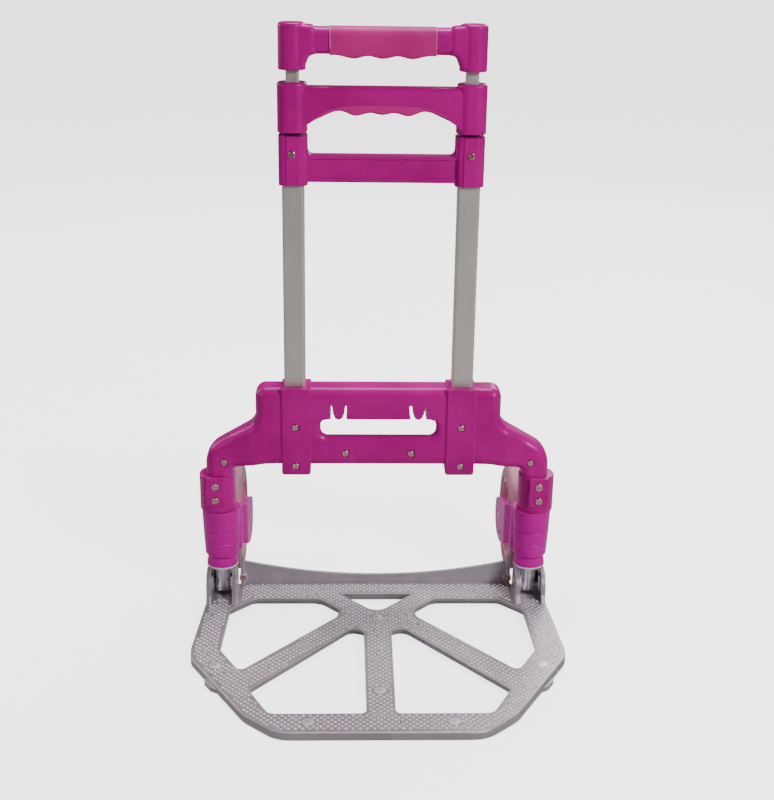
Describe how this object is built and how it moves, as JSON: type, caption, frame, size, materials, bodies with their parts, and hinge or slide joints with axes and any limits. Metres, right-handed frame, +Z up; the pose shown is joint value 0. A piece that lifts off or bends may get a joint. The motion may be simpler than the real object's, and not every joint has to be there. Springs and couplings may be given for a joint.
{
  "type": "folding hand truck",
  "caption": "Folding luggage hand truck: studded cast toe plate, telescopic handle in a plastic body, and wheels that swing in behind the legs as the plate folds.",
  "frame": {"origin": "middle of the footprint on the floor, between the toe plate front edge and the wheels", "axes": "+Z up, +X to the right of someone facing the toe plate from the front looking back, toe plate towards -Y, wheels towards +Y"},
  "size_m": [0.3806, 0.4186, 0.614],
  "materials": {
    "body_plastic": "glossy moulded magenta",
    "grip_soft": "soft satin pink",
    "tube_aluminium": "satin anodised",
    "cast_aluminium": "cast, studded, satin",
    "chrome": "polished",
    "zinc": "zinc plated",
    "nylon_white": "satin",
    "inner_plastic": "satin dark magenta",
    "tyre": "satin grey pink",
    "hub_plastic": "satin pink"
  },
  "bodies": {
    "frame": {"body_front_shell": "body_plastic", "body_back_shell": "body_plastic", "body_screws": "zinc", "crossbar": "body_plastic", "crossbar_screws": "zinc", "collar_screws": "zinc", "outer_tube_left": "tube_aluminium", "outer_tube_right": "tube_aluminium", "tube_plug_left": "inner_plastic", "tube_plug_right": "inner_plastic", "tube_bush_left": "inner_plastic", "tube_bush_right": "inner_plastic", "leg_tube_left": "chrome", "leg_tube_right": "chrome", "leg_collar_left": "body_plastic", "leg_collar_right": "body_plastic", "leg_rivet_left": "zinc", "leg_rivet_right": "zinc", "leg_ring_left": "nylon_white", "leg_ring_right": "nylon_white", "hinge_bracket_left": "chrome", "hinge_bracket_right": "chrome"},
    "lower_handle": {"lower_handle": "body_plastic", "lower_grip_insert": "grip_soft", "middle_tube_left": "tube_aluminium", "middle_tube_right": "tube_aluminium", "middle_glide_left": "inner_plastic", "middle_glide_right": "inner_plastic"},
    "upper_handle": {"upper_handle": "body_plastic", "upper_grip": "grip_soft", "inner_tube_left": "tube_aluminium", "inner_tube_right": "tube_aluminium", "inner_glide_left": "inner_plastic", "inner_glide_right": "inner_plastic"},
    "toe_plate": {"toe_plate": "cast_aluminium", "hinge_pins": "zinc", "rib_bolts": "zinc"},
    "wheel_bracket_left": {"wheel_bracket_left": "body_plastic", "axle_bolt_left": "zinc", "axle_nut_left": "zinc", "axle_spacer_left": "inner_plastic"},
    "wheel_left": {"tyre_left": "tyre", "wheel_hub_left": "hub_plastic", "wheel_bush_left": "inner_plastic"},
    "wheel_bracket_right": {"wheel_bracket_right": "body_plastic", "axle_bolt_right": "zinc", "axle_nut_right": "zinc", "axle_spacer_right": "inner_plastic"},
    "wheel_right": {"tyre_right": "tyre", "wheel_hub_right": "hub_plastic", "wheel_bush_right": "inner_plastic"}
  },
  "joints": [
    {"name": "toe_plate_fold", "type": "hinge", "parent": "frame", "child": "toe_plate", "pos_m": [0, 0.05725, 0.022], "axis": [-1, 0, 0], "range_deg": [0, 90]},
    {"name": "wheel_swing_left", "type": "hinge", "parent": "frame", "child": "wheel_bracket_left", "pos_m": [-0.1676, 0.06725, 0.06], "axis": [0, 0, -1], "range_deg": [0, 90]},
    {"name": "wheel_swing_right", "type": "hinge", "parent": "frame", "child": "wheel_bracket_right", "pos_m": [0.1676, 0.06725, 0.06], "axis": [0, 0, 1], "range_deg": [0, 90]},
    {"name": "wheel_spin_left", "type": "hinge", "parent": "wheel_bracket_left", "child": "wheel_left", "pos_m": [-0.1615, 0.14925, 0.06], "axis": [1, 0, 0], "continuous": true},
    {"name": "wheel_spin_right", "type": "hinge", "parent": "wheel_bracket_right", "child": "wheel_right", "pos_m": [0.1615, 0.14925, 0.06], "axis": [1, 0, 0], "continuous": true},
    {"name": "lower_handle_slide", "type": "slide", "parent": "frame", "child": "lower_handle", "axis": [0, 0, 1], "range_m": [0, 0.19]},
    {"name": "upper_handle_slide", "type": "slide", "parent": "lower_handle", "child": "upper_handle", "axis": [0, 0, 1], "range_m": [0, 0.19]}
  ],
  "couplings": [
    {"joint": "wheel_swing_left", "follows": "toe_plate_fold", "ratio": 1},
    {"joint": "wheel_swing_right", "follows": "toe_plate_fold", "ratio": 1}
  ]
}
